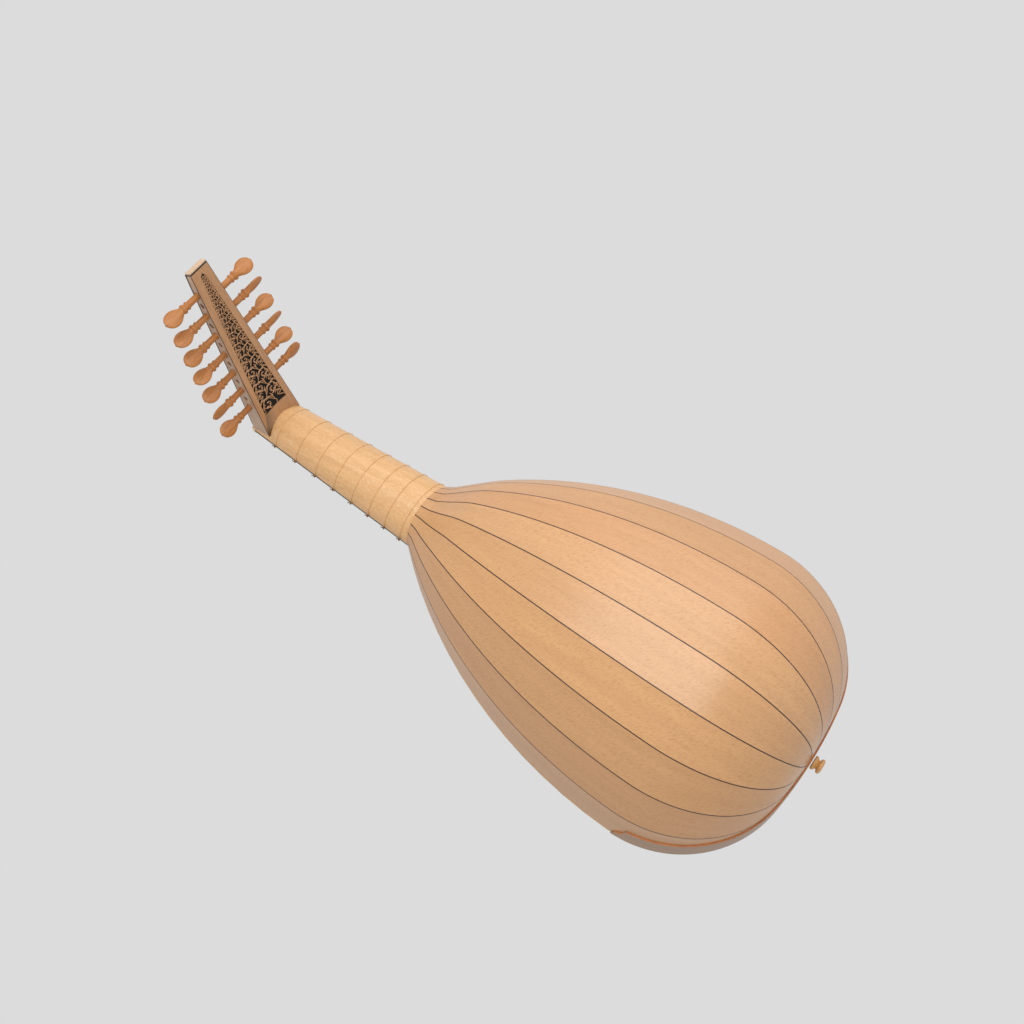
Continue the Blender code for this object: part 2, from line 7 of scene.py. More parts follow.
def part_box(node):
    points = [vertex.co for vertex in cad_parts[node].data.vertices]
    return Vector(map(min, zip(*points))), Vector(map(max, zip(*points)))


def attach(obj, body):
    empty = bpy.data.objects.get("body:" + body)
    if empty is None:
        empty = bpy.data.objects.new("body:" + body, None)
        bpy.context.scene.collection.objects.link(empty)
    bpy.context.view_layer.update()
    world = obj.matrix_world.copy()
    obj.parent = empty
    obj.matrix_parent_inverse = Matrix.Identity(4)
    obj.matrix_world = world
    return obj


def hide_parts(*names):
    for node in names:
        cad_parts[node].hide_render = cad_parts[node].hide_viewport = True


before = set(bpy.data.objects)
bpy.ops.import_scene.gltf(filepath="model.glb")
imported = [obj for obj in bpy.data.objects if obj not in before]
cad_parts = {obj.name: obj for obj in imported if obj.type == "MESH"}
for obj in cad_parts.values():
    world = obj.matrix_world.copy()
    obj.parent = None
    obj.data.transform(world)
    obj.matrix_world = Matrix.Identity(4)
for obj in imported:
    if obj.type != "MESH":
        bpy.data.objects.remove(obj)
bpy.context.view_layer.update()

mm = 0.001
print("lute: packed model loaded")


# small helpers

def fromHex(text):
    channels = [int(text[i:i + 2], 16) / 255 for i in (0, 2, 4)]
    return tuple(c / 12.92 if c <= 0.04045 else ((c + 0.055) / 1.055) ** 2.4 for c in channels) + (1.0,)


def mix(pair, share):
    return pair[0] + (pair[1] - pair[0]) * share


def easeStep(value):
    value = min(max(value, 0.0), 1.0)
    return value * value * (3 - 2 * value)


def addNode(tree, kind, settings, links=None):
    # settings and links are keyed by the node's own property names or by its inputs
    node = tree.nodes.new(kind)
    for key, value in settings.items():
        if key == "ramp":  # (place, colour) stops of a colour ramp
            stops = node.color_ramp.elements
            while len(stops) < len(value):
                stops.new(0.5)
            for stop, (place, colour) in zip(stops, value):
                stop.position, stop.color = place, colour
        elif isinstance(key, str) and key in node.bl_rna.properties:
            setattr(node, key, value)
        else:
            node.inputs[key].default_value = value
    for key, (source, output) in (links or {}).items():
        tree.links.new(source.outputs[output], node.inputs[key])
    return node


def onlySelect(piece):
    bpy.ops.object.select_all(action="DESELECT")
    piece.select_set(True)
    bpy.context.view_layer.objects.active = piece


def applyModifier(piece, kind, **settings):
    onlySelect(piece)
    bpy.ops.object.modifier_add(type=kind)
    modifier = piece.modifiers[-1]
    for key, value in settings.items():
        setattr(modifier, key, value)
    bpy.ops.object.modifier_apply(modifier=modifier.name)


def editAll(piece, *steps):
    # runs mesh operators on the whole piece, in edit mode
    onlySelect(piece)
    bpy.ops.object.mode_set(mode="EDIT")
    for step, settings in steps:
        bpy.ops.mesh.select_all(action="SELECT")
        step(**settings)
    bpy.ops.object.mode_set(mode="OBJECT")


def easeEdges(piece, width):
    sharp = math.radians(50)
    applyModifier(piece, "BEVEL", width=width, segments=2, limit_method="ANGLE", angle_limit=sharp)


def smoothByAngle(piece, degrees=35):
    onlySelect(piece)
    bpy.ops.object.shade_smooth_by_angle(angle=math.radians(degrees))


def shapeGrid(name, rows, wall=0.0, closed=False, capped=False, side=-1):
    # a grid bent to rows of points, with its UV map in metres: u along the rows' run, v across them
    bpy.ops.object.select_all(action="DESELECT")
    columns = len(rows[0])
    bpy.ops.mesh.primitive_grid_add(x_subdivisions=columns - 1, y_subdivisions=len(rows) - 1, size=1)
    piece = bpy.context.object
    piece.name = name
    mesh = piece.data
    points = [Vector(point) for row in rows for point in row]
    for vertex, point in zip(mesh.vertices, points):
        vertex.co = point
    middle = columns // 2
    along, across = [0.0], []
    for i in range(1, len(rows)):
        along.append(along[-1] + (points[i * columns + middle] - points[(i - 1) * columns + middle]).length)
    for i in range(len(rows)):
        run = [0.0]
        for j in range(1, columns):
            run.append(run[-1] + (points[i * columns + j] - points[i * columns + j - 1]).length)
        across.append([place - run[-1] / 2 for place in run])
    layer = mesh.uv_layers[0]
    layer.name = "grain"
    for loop in mesh.loops:
        i, j = divmod(loop.vertex_index, columns)
        layer.data[loop.index].uv = (along[i], across[i][j])
    if wall:
        applyModifier(piece, "SOLIDIFY", thickness=wall, offset=side, use_even_offset=True)
    steps = []
    if closed:
        steps.append((bpy.ops.mesh.remove_doubles, {"threshold": 1e-6}))
    if capped:
        steps.append((bpy.ops.mesh.fill_holes, {"sides": 0}))
    if closed or capped or wall:
        steps.append((bpy.ops.mesh.normals_make_consistent, {"inside": False}))
        editAll(piece, *steps)
    return piece


def ringLoft(name, rings):
    # a closed body through rings of points
    return shapeGrid(name, [list(ring) + [ring[0]] for ring in rings], closed=True, capped=True)


def tubeAlong(name, lines, radius, sides=2, cyclic=False):
    # round strands that follow lines of (point, share of the radius)
    curve = bpy.data.curves.new(name, "CURVE")
    curve.dimensions = "3D"
    curve.bevel_depth = radius
    curve.bevel_resolution = sides
    curve.use_fill_caps = True
    for line in lines:
        spline = curve.splines.new("POLY")
        spline.points.add(len(line) - 1)
        spline.use_cyclic_u = cyclic
        for knot, (point, share) in zip(spline.points, line):
            knot.co = (*point, 1)
            knot.radius = share
    piece = bpy.data.objects.new(name, curve)
    bpy.context.scene.collection.objects.link(piece)
    onlySelect(piece)
    bpy.ops.object.convert(target="MESH")
    return bpy.context.object


def joinPieces(name, pieces):
    bpy.ops.object.select_all(action="DESELECT")
    for piece in pieces:
        piece.select_set(True)
    bpy.context.view_layer.objects.active = pieces[0]
    bpy.ops.object.join()
    pieces[0].name = name
    return pieces[0]


def settle(piece):
    # the place goes into the mesh, and the object stays at the origin
    onlySelect(piece)
    bpy.ops.object.transform_apply(location=True, rotation=True, scale=True)


def handOver(piece, body, finish, standsFor=()):
    piece.data.materials.clear()
    piece.data.materials.append(finish)
    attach(piece, body)
    if standsFor:
        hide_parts(*standsFor)


def softCopy(node, edge):
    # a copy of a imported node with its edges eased
    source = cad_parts[node]
    piece = source.copy()
    piece.data = source.data.copy()
    piece.name = node + "Eased"
    bpy.context.scene.collection.objects.link(piece)
    editAll(
        piece,
        (bpy.ops.mesh.remove_doubles, {"threshold": 1e-6}),
        (bpy.ops.mesh.dissolve_limited, {"angle_limit": math.radians(1)}),
    )
    easeEdges(piece, edge)
    smoothByAngle(piece)
    return piece


# finishes

def newFinish(name):
    material = bpy.data.materials.new(name)
    material.use_nodes = True
    return material, material.node_tree, material.node_tree.nodes["Principled BSDF"]


def woodFinish(name, wood):
    # every length is in millimetres, along and across the grain
    material, tree, shader = newFinish(name)
    perMetre = (1000, 1000, 1000)
    if wood.get("followsPiece"):
        place, output = addNode(tree, "ShaderNodeUVMap", {"uv_map": "grain"}), 0
        shift = {"Location": wood.get("shift", (0, 0, 0)), "Scale": perMetre}
    else:
        place, output = addNode(tree, "ShaderNodeTexCoord", {}), "Object"
        shift = {"Rotation": wood.get("turn", (0, 0, 0)), "Scale": perMetre}
    grain = addNode(tree, "ShaderNodeMapping", shift, {"Vector": (place, output)})

    def figure(length, width, turn=0.0, **settings):
        # noise turned first and stretched after, so that the figure can lie aslant to the grain
        turned = addNode(tree, "ShaderNodeMapping", {"Rotation": (0, 0, turn)}, {"Vector": (grain, 0)})
        size = {"Scale": (1 / length, 1 / width, 1 / width)}
        stretched = addNode(tree, "ShaderNodeMapping", size, {"Vector": (turned, 0)})
        return addNode(tree, "ShaderNodeTexNoise", {"Scale": 1.0} | settings, {"Vector": (stretched, 0)})

    def laidOver(below, output, noise, fromHigh, strength, colour):
        # the colour shows where the noise is high, up to a share of strength
        low, high = fromHigh
        limits = {"From Min": low, "From Max": high, "To Min": 0.0, "To Max": strength}
        share = addNode(tree, "ShaderNodeMapRange", limits, {"Value": (noise, 0)})
        settings = {"data_type": "RGBA", 7: fromHex(colour)}
        return addNode(tree, "ShaderNodeMix", settings, {0: (share, 0), 6: (below, output)})

    streaks = figure(*wood["streak"], Detail=4.0, Roughness=0.55, Distortion=0.3)
    tones = [(0.3, fromHex(wood["dark"])), (0.7, fromHex(wood["light"]))]
    tone = addNode(tree, "ShaderNodeValToRGB", {"ramp": tones}, {"Fac": (streaks, 0)})
    lines = figure(*wood["line"], Detail=2.0)
    colour = laidOver(tone, 0, lines, (0.45, 0.7), wood["lineStrength"], wood["lineColour"])
    height = lines
    if "fleck" in wood:  # medullary rays, cut through as short dashes
        rays = figure(*wood["fleck"], wood.get("fleckTurn", 0.0), Detail=1.5, Distortion=0.9)
        colour = laidOver(colour, 2, rays, (0.5, 0.66), wood["fleckStrength"], wood["fleckColour"])
        height = rays
    depth = {"Strength": wood.get("relief", 0.25), "Distance": 0.05 * mm}
    relief = addNode(tree, "ShaderNodeBump", depth, {"Height": (height, 0)})
    tree.links.new(colour.outputs[2], shader.inputs["Base Color"])
    tree.links.new(relief.outputs[0], shader.inputs["Normal"])
    shader.inputs["Roughness"].default_value = wood["roughness"]
    shader.inputs["IOR"].default_value = 1.5
    shader.inputs["Coat Weight"].default_value = wood.get("varnish", 0.0)
    shader.inputs["Coat Roughness"].default_value = wood.get("varnishRoughness", 0.3)
    return material


def plainFinish(name, colour, roughness, grit, unevenness=0.12):
    # an even stuff whose tone still drifts a little over a few millimetres
    material, tree, shader = newFinish(name)
    place = addNode(tree, "ShaderNodeTexCoord", {})
    settings = {"Scale": 1000 / grit, "Detail": 3.0}
    cloud = addNode(tree, "ShaderNodeTexNoise", settings, {"Vector": (place, "Object")})
    full = fromHex(colour)
    worn = tuple(c * (1 - unevenness) for c in full[:3]) + (1.0,)
    tone = addNode(tree, "ShaderNodeValToRGB", {"ramp": [(0.35, worn), (0.65, full)]}, {"Fac": (cloud, 0)})
    relief = addNode(tree, "ShaderNodeBump", {"Strength": 0.1, "Distance": 0.02 * mm}, {"Height": (cloud, 0)})
    tree.links.new(tone.outputs[0], shader.inputs["Base Color"])
    tree.links.new(relief.outputs[0], shader.inputs["Normal"])
    shader.inputs["Roughness"].default_value = roughness
    return material


pegboxBend = math.radians(81.3)
pegboxTurn = (0, pegboxBend, 0)

# quartered plane wood, oil varnished: warm tan, a satin shine, and fine rays across each rib
planeWood = {
    "followsPiece": True, "streak": (160, 12), "line": (30, 0.8),
    "lineColour": "A87648", "lineStrength": 0.2,
    "fleck": (4.2, 1.1), "fleckTurn": 0.75, "fleckColour": "A9703F", "fleckStrength": 0.4,
    "roughness": 0.42, "varnish": 0.35, "varnishRoughness": 0.28, "relief": 0.25,
}
ribTones = (
    "C29468", "C49365", "C89766", "CD9B68", "CA9969", "CC9C6D",
    "C99668", "C89769", "CA996B", "CC9D70", "CB9D72",
)


def ribFinish(number):
    # each rib comes from its own board, so its tone and its figure differ a little
    light = ribTones[number - 1]
    dark = "".join(f"{int(int(light[i:i + 2], 16) * 0.95):02X}" for i in (0, 2, 4))
    board = {"light": light, "dark": dark, "shift": (137.0 * number, 41.0 * number, 0)}
    return woodFinish(f"planeWoodRib{number:02d}", planeWood | board)


neckMaple = woodFinish("oiledMapleNeck", {  # pale and creamy, with a faint fleck, rubbed to a soft shine
    "followsPiece": True, "dark": "C69864", "light": "D8A974", "streak": (120, 7), "line": (18, 0.7),
    "lineColour": "BC8850", "lineStrength": 0.25,
    "fleck": (4.5, 1.3), "fleckColour": "E0BC90", "fleckStrength": 0.5,
    "roughness": 0.4, "varnish": 0.2,
})
pegboxMaple = woodFinish("oiledMaplePegbox", {  # the same wood, browner from handling
    "dark": "A97C55", "light": "BC8D62", "streak": (90, 5), "line": (20, 0.6), "turn": pegboxTurn,
    "lineColour": "86644A", "lineStrength": 0.3, "roughness": 0.45, "varnish": 0.15,
})
cheekMaple = woodFinish("quarteredMapleCheek", {  # greyer on the quarter
    "dark": "B18F72", "light": "C6A386", "streak": (70, 4), "line": (12, 0.6), "turn": pegboxTurn,
    "lineColour": "7B6452", "lineStrength": 0.4, "roughness": 0.5, "varnish": 0.1,
})
capMaple = woodFinish("paleMapleCap", {  # end grain, the palest wood on the lute
    "dark": "C2A386", "light": "D2B496", "streak": (8, 3), "line": (3, 0.5),
    "lineColour": "B5906D", "lineStrength": 0.3, "roughness": 0.5,
})
pegPlum = woodFinish("turnedPlumPeg", {  # honey orange fruitwood, waxed, with long fine lines
    "dark": "9C6029", "light": "BB7A3C", "streak": (30, 1.6), "line": (14, 0.5), "turn": (0, 0, math.pi / 2),
    "lineColour": "83491D", "lineStrength": 0.45, "roughness": 0.5, "varnish": 0.05,
})
buttonBox = woodFinish("turnedBoxButton", {  # yellower and closer than the pegs
    "dark": "C18D50", "light": "DBAA6C", "streak": (20, 1.4), "line": (9, 0.5),
    "lineColour": "A8743C", "lineStrength": 0.35, "roughness": 0.4, "varnish": 0.1,
})
pegEndGrainAndHoleShade = woodFinish("plumEndGrainAndHoleShade", {  # cut across, it drinks the wax and goes dark; this dark also stands as painted shade of the hole round the peg's end
    "dark": "4A3323", "light": "6B4A31", "streak": (2, 2), "line": (1, 1),
    "lineColour": "33221A", "lineStrength": 0.5, "roughness": 0.6,
})
claspFace = woodFinish("planeWoodClasp", {  # the same plane wood as the ribs, on its greyer face
    "followsPiece": True, "dark": "8F7157", "light": "A48467", "streak": (120, 5), "line": (30, 0.7),
    "lineColour": "7C604A", "lineStrength": 0.3, "roughness": 0.45, "varnish": 0.2,
})
claspEdge = woodFinish("planeWoodClaspEdge", {  # the sawn edge drinks more oil and turns orange
    "followsPiece": True, "dark": "B46A35", "light": "C97D45", "streak": (60, 3), "line": (20, 0.6),
    "lineColour": "8C4A22", "lineStrength": 0.4, "roughness": 0.45,
})
tableSpruce = woodFinish("bareSpruceTable", {  # straight close grain, a yearly line every millimetre
    "dark": "CFAE78", "light": "DDBF8B", "streak": (200, 6), "line": (260, 0.9),
    "lineColour": "A97F4A", "lineStrength": 0.6, "roughness": 0.6,
})
bridgePear = woodFinish("waxedPearBridge", {  # even, close and reddish brown
    "dark": "6E4630", "light": "85583D", "streak": (40, 3), "line": (10, 0.5), "turn": (0, 0, math.pi / 2),
    "lineColour": "523322", "lineStrength": 0.3, "roughness": 0.45, "varnish": 0.1,
})
boardEbony = woodFinish("polishedEbony", {  # near black with a brown thread here and there
    "dark": "16110E", "light": "241C18", "streak": (60, 2), "line": (30, 0.5),
    "lineColour": "3A2A20", "lineStrength": 0.3, "roughness": 0.3,
})
darkLinesAndEdgeShade = plainFinish("dyedPearStringingAndPaintedShade", "3E2C24", 0.5, 4)  # thin dark lines between the ribs and along the cheeks' back corners; on the cheeks' front edges the same dark is painted shade
veneerBlack = plainFinish("blackDyedVeneer", "0F0C0B", 0.45, 5)
liningBlack = plainFinish("blackLiningPaper", "060505", 0.9, 3)
nutBone = plainFinish("polishedBone", "E6DCC0", 0.3, 6, 0.08)
gutString = plainFinish("plainGut", "C9A878", 0.35, 2)
fretGut = plainFinish("varnishedGutFret", "E0B27C", 0.4, 2)
knotBurnt = plainFinish("singedGutKnot", "7A5634", 0.6, 1)
print("lute: finishes made")


# the bowl

boardLow, boardHigh = (Vector(corner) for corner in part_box("soundboard"))
bowl = {
    "ribs": 11, "wall": 1.6 * mm, "widestAt": 121.6 * mm, "cornerRadius": 118.6 * mm,
    "jointHalfWidth": 39.0 * mm, "depth": 0.94, "depthAtJoint": 0.79, "jointLean": 0.165,
    "tailOpening": 7.0 * mm, "lineWidth": 1.15 * mm,
}
tailX = boardLow.x
boardFace = boardLow.z
bowlBase = boardHigh.z + 0.15 * mm
jointX = boardHigh.x + 0.15 * mm
bowlLength = jointX - tailX
halfWidth = boardHigh.y
sideDrop = halfWidth - bowl["jointHalfWidth"]
sideRadius = ((bowlLength - bowl["widestAt"]) ** 2 + sideDrop ** 2) / (2 * sideDrop)
cornerCentre = (bowl["widestAt"], halfWidth - bowl["cornerRadius"])
# the tail's arc crosses the middle line square at the tail and touches the corner's arc
tailRadius = math.hypot(*cornerCentre) ** 2 - bowl["cornerRadius"] ** 2
tailRadius /= 2 * (bowl["widestAt"] - bowl["cornerRadius"])
tangentAngle = math.atan2(cornerCentre[1], tailRadius - cornerCentre[0])


def halfWidthAt(station):
    if station >= bowl["widestAt"]:
        return halfWidth - sideRadius + math.sqrt(sideRadius ** 2 - (station - bowl["widestAt"]) ** 2)
    if station >= tailRadius * (1 - math.cos(tangentAngle)):
        return cornerCentre[1] + math.sqrt(bowl["cornerRadius"] ** 2 - (station - bowl["widestAt"]) ** 2)
    return math.sqrt(max(tailRadius ** 2 - (station - tailRadius) ** 2, 0))


def outlineRows():
    # (distance from the tail, half width), close together where the outline turns fast
    rows = []
    first = math.asin(bowl["tailOpening"] / tailRadius)
    for i in range(10):
        angle = mix((first, tangentAngle), i / 10)
        rows.append((tailRadius * (1 - math.cos(angle)), tailRadius * math.sin(angle)))
    for i in range(26):
        angle = mix((tangentAngle, math.pi / 2), i / 26)
        station = cornerCentre[0] - bowl["cornerRadius"] * math.cos(angle)
        rows.append((station, cornerCentre[1] + bowl["cornerRadius"] * math.sin(angle)))
    end = math.asin((bowlLength - bowl["widestAt"]) / sideRadius)
    for i in range(45):
        angle = end * i / 44
        station = bowl["widestAt"] + sideRadius * math.sin(angle)
        rows.append((station, halfWidth - sideRadius + sideRadius * math.cos(angle)))
    return rows


def ribAngle(joint):
    # how far round from the treble edge this joint between two ribs lies
    return math.pi * joint / bowl["ribs"]


def bowlPoint(station, width, around):
    ratio = mix((bowl["depth"], bowl["depthAtJoint"]), easeStep((station / bowlLength - 0.88) / 0.12))
    x = tailX + station
    z = bowlBase + width * ratio * math.sin(around)
    if station > bowlLength - 1e-6:
        x = jointX - 0.1 * mm + bowl["jointLean"] * (z - boardFace)
    return Vector((x, width * math.cos(around), z))


def ribRows(number, cutBack):
    rows = []
    for station, width in outlineRows():
        low = bowlPoint(station, width, ribAngle(number - 1))
        high = bowlPoint(station, width, ribAngle(number))
        step = (high - low).normalized() * cutBack
        rows.append([low + step, (low + high) / 2, high - step])
    return rows


for number in range(1, bowl["ribs"] + 1):
    rib = shapeGrid(f"bowlRib{number:02d}", ribRows(number, bowl["lineWidth"] / 2), wall=bowl["wall"])
    smoothByAngle(rib)
    handOver(rib, "lute", ribFinish(number), [f"rib_{number:02d}"])

for number in range(1, bowl["ribs"]):  # the line between one rib and the next
    rows = []
    for station, width in outlineRows():
        before, here, after = (bowlPoint(station, width, ribAngle(number + k)) for k in (-1, 0, 1))
        half = bowl["lineWidth"] / 2
        low, high = ((there - here).normalized() * half for there in (before, after))
        rows.append([here + low, here, here + high])
    stringing = shapeGrid(f"ribStringing{number:02d}", rows, wall=1.2 * mm)
    smoothByAngle(stringing)
    handOver(stringing, "lute", darkLinesAndEdgeShade)
print("lute: bowl made")


# the clasp round the tail, and the strap button

clasp = {
    "height": 20.0 * mm, "thickness": 1.4 * mm, "gap": 0.12 * mm, "notchAt": 104 * mm,
    "tongueEnd": 117.0 * mm, "tongueHeight": 12.5 * mm, "tipHeight": 1.5 * mm, "step": 2 * mm, "stations": 64,
}


def facetReach(width, height):
    # half width of the bowl's flat-sided section at this height over its base
    angles = [ribAngle(joint) for joint in range(6)]
    corners = [(width * math.cos(angle), width * bowl["depth"] * math.sin(angle)) for angle in angles]
    for (y0, z0), (y1, z1) in zip(corners, corners[1:]):
        if height <= z1:
            return y0 + (y1 - y0) * (height - z0) / (z1 - z0)
    return 0.0


def claspTop(station):
    past = station - clasp["notchAt"]
    if past <= 0:
        return clasp["height"]
    if past < clasp["step"]:  # the small step where the outline curls in
        return mix((clasp["height"], clasp["tongueHeight"]), easeStep(past / clasp["step"]))
    share = (past - clasp["step"]) / (clasp["tongueEnd"] - clasp["notchAt"] - clasp["step"])
    return mix((clasp["tongueHeight"], clasp["tipHeight"]), share ** 1.5)


def claspLevel(share):
    # one line round the tail, at this share of the clasp's height; its stations lie closest at the tail
    half = []
    for i in range(clasp["stations"] + 1):
        run = i / clasp["stations"]
        station = clasp["tongueEnd"] * (run ** 2 if run < 0.9 else mix((0.81, 1), (run - 0.9) * 10))
        height = claspTop(station) * share
        topRatio = bowl["depth"] * math.sin(ribAngle(5))
        start = tailRadius - math.sqrt(tailRadius ** 2 - (height / topRatio + 1e-5) ** 2)
        station = start + station * (clasp["tongueEnd"] - start) / clasp["tongueEnd"]
        half.append((station, 0.0 if i == 0 else facetReach(halfWidthAt(station), height), height))
    line = [Vector(point) for point in reversed(half)] + [Vector((x, -y, z)) for x, y, z in half[1:]]
    moved = []
    for i, point in enumerate(line):
        run = line[min(i + 1, len(line) - 1)] - line[max(i - 1, 0)]
        out = Vector((run.y, -run.x, 0)).normalized()
        moved.append(point + out * clasp["gap"] + Vector((tailX, 0, bowlBase)))
    return moved


levels = [claspLevel(share) for share in (0, 0.25, 0.5, 0.75, 1)]
band = shapeGrid("endClaspBand", [list(column) for column in zip(*levels)], wall=clasp["thickness"])
smoothByAngle(band, 50)
handOver(band, "lute", claspFace, ["end_clasp"])
band.data.materials.append(claspEdge)
for face in band.data.polygons:
    if face.normal.z > 0.6:
        face.material_index = 1

buttonLow, buttonHigh = (Vector(corner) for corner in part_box("strap_button"))
button = {
    "profile": (  # radius and height, in millimetres
        (0, 0), (6.2, 0.1), (7.1, 0.9), (7.2, 1.9), (6.6, 3.0), (5.1, 4.0), (4.5, 4.8), (4.9, 5.6),
        (6.6, 6.2), (7.5, 7.3), (7.5, 8.5), (6.7, 9.6), (5.2, 10.2), (3.0, 10.4), (0, 10.4)),
}
bpy.ops.object.select_all(action="DESELECT")
bpy.ops.mesh.primitive_circle_add(vertices=len(button["profile"]), radius=1 * mm)
knob = bpy.context.object
for vertex, (radius, height) in zip(knob.data.vertices, button["profile"]):
    vertex.co = (radius * mm, 0, height * mm)
editAll(
    knob,
    (bpy.ops.mesh.spin, {"steps": 40, "angle": 2 * math.pi, "center": (0, 0, 0), "axis": (0, 0, 1)}),
    (bpy.ops.mesh.remove_doubles, {"threshold": 1e-6}),
    (bpy.ops.mesh.normals_make_consistent, {"inside": False}),
)
knob.name = "strapButtonTurned"
knob.rotation_euler = (0, -math.pi / 2, 0)
knob.location = (buttonHigh.x, 0, (buttonLow.z + buttonHigh.z) / 2)
settle(knob)
smoothByAngle(knob, 60)
handOver(knob, "lute", buttonBox, ["strap_button"])
print("lute: clasp and button made")


# neck and frets

nutLow, nutHigh = (Vector(corner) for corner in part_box("nut"))
nutX, neckEnd = nutLow.x, nutHigh.x
neck = {
    "halfWidths": (bowl["jointHalfWidth"], 26.3 * mm), "depth": bowl["depthAtJoint"], "curves": (1.95, 1.65),
    "front": boardFace + 2.3 * mm,
}


def neckHalfWidth(x):
    return mix(neck["halfWidths"], (x - jointX) / (nutX - jointX))


def neckBack(x, grow=0.0, steps=32, low=neck["front"]):
    # points round the back of the neck, from the treble edge to the bass edge
    width = neckHalfWidth(x) + grow
    depth = neckHalfWidth(x) * neck["depth"] + grow
    power = 2 / mix(neck["curves"], (x - jointX) / (nutX - jointX))
    first = math.asin(min(1, max((low - boardFace) / depth, 0) ** (1 / power)))
    points = []
    for i in range(steps + 1):
        angle = mix((first, math.pi - first), i / steps)
        across = math.copysign(abs(math.cos(angle)) ** power, math.cos(angle))
        points.append(Vector((x, width * across, boardFace + depth * math.sin(angle) ** power)))
    return points


pegbox = {
    "bend": pegboxBend, "length": 233 * mm, "rise": 5.3 * mm, "halfWidths": (25.1 * mm, 11.0 * mm),
    "backs": (23.5 * mm, 8.2 * mm), "depths": (24.3 * mm, 9.4 * mm), "cheek": 4.6 * mm, "plate": 1.5 * mm,
    "cap": 4.0 * mm, "slant": 4.0 * mm,
    "pegsBelow": (12.9 * mm, 5.0 * mm), "firstPeg": 41.3 * mm, "pegStep": 26.8 * mm,
}


def onPegbox(along, y, below):
    # a point of the bent pegbox: along it from the nut, across it, and below its back
    back = mix(pegbox["backs"], along / pegbox["length"]) - below
    run, rise = math.cos(pegbox["bend"]), math.sin(pegbox["bend"])
    lift = pegbox["rise"] + along * rise + back * run
    return Vector((nutX + along * run - back * rise, y, boardFace + lift))


def atTip(y, below, inset):
    return onPegbox(pegbox["length"] - inset - pegbox["slant"] * below / pegbox["depths"][1], y, below)


def pegboxHalfWidth(along):
    return mix(pegbox["halfWidths"], along / pegbox["length"])


def barRing(half, top, bottom, side, along):
    # a four-cornered section of a strip that runs along the pegbox
    corners = ((half[1], top), (half[1], bottom), (half[0], bottom), (half[0], top))
    return [onPegbox(along, side * y, below) for y, below in corners]


rings = [neckBack(jointX + (neckEnd - jointX) * i / 40) for i in range(41)]
for i in range(len(rings[0])):  # the end that meets the bowl leans with the joint
    x = jointX + 0.1 * mm + bowl["jointLean"] * (rings[0][i].z - boardFace)
    rings[0][i] = neckBack(x)[i]
    rings[0][i].x = x
neckBody = ringLoft("neckCarved", rings)
seatCorners = ((-0.1, -0.1), (90, -0.1), (90, 80), (-0.1, 80))  # along the pegbox and below its back
seat = ringLoft("neckSeatCutter", [
    [onPegbox(along * mm, y, below * mm) for along, below in seatCorners] for y in (-60 * mm, 60 * mm)
])
applyModifier(neckBody, "BOOLEAN", operation="DIFFERENCE", object=seat, solver="EXACT")
bpy.data.objects.remove(seat)
easeEdges(neckBody, 0.3 * mm)
smoothByAngle(neckBody)
handOver(neckBody, "lute", neckMaple, ["neck"])

fret = {
    "radius": 0.27 * mm, "play": 0.34 * mm,  # play enough to slide 3 mm towards the wider end
    "tail": 2.2 * mm, "knotRadius": 0.5 * mm, "tailRadius": 0.42 * mm,
}


def fretLine(x, edge, reach):
    back = neckBack(x, grow=reach, steps=40, low=boardFace + 4 * mm)
    flat = -reach / mm
    corner = ((0, 2.2), (0, 0.3), (0.15, -0.2), (0.6, flat), (1.4, flat))  # inset and lift, in millimetres
    front = [Vector((x, inset * mm - edge, boardFace + lift * mm)) for inset, lift in corner]
    front += [Vector((x, edge - inset * mm, boardFace + lift * mm)) for inset, lift in reversed(corner)]
    return [(point, 1) for point in back + front]


def knotTurn(place, width, height):
    # one twisted turn of the knot
    angles = [math.pi * k / 6 for k in range(12)]
    around = [(width * math.cos(a), 0.4 * math.sin(2 * a), height * math.sin(a)) for a in angles]
    return [(place + Vector(point) * mm, 1.0) for point in around]


def knotTail(place, side):
    bend = place + Vector((side * fret["tail"] * 0.6, 0.6 * mm, 0.7 * mm))
    end = place + Vector((side * fret["tail"], 1.0 * mm, 1.6 * mm))
    return [(place, 1), (bend, 1), (end, 1.3)]


for number in range(1, 9):
    low, high = (Vector(corner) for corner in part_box(f"fret_{number}"))
    x = (low.x + high.x) / 2
    reach = fret["radius"] + fret["play"]
    edge = neckHalfWidth(x) + reach
    loop = tubeAlong(f"fretLoop{number}", [fretLine(x, edge, reach)], fret["radius"], 2, cyclic=True)
    smoothByAngle(loop, 60)
    handOver(loop, f"fret_{number}", fretGut, [f"fret_{number}"])
    place = Vector((x, edge + 1.0 * mm, boardFace + 3.2 * mm))
    # the knot is two turns of gut over each other, with two singed ends
    strands = [knotTurn(place, 0.54, 1.7), knotTurn(place, 0.9, 1.3)]
    knot = tubeAlong(f"fretKnot{number}", strands, fret["knotRadius"], 2, cyclic=True)
    tails = [knotTail(place, side) for side in (-1, 1)]
    ends = tubeAlong(f"fretEnds{number}", tails, fret["tailRadius"], 2)
    knot = joinPieces(f"fretKnot{number}", [knot, ends])
    smoothByAngle(knot, 60)
    handOver(knot, f"fret_{number}", knotBurnt)
print("lute: neck and frets made")


# pegbox: pierced back, purfling, cap

window = {"start": 26 * mm, "end": 219 * mm, "halfWidths": (16.8 * mm, 3.8 * mm), "point": 224 * mm}


def windowHalf(along):
    return mix(window["halfWidths"], (along - window["start"]) / (window["end"] - window["start"]))


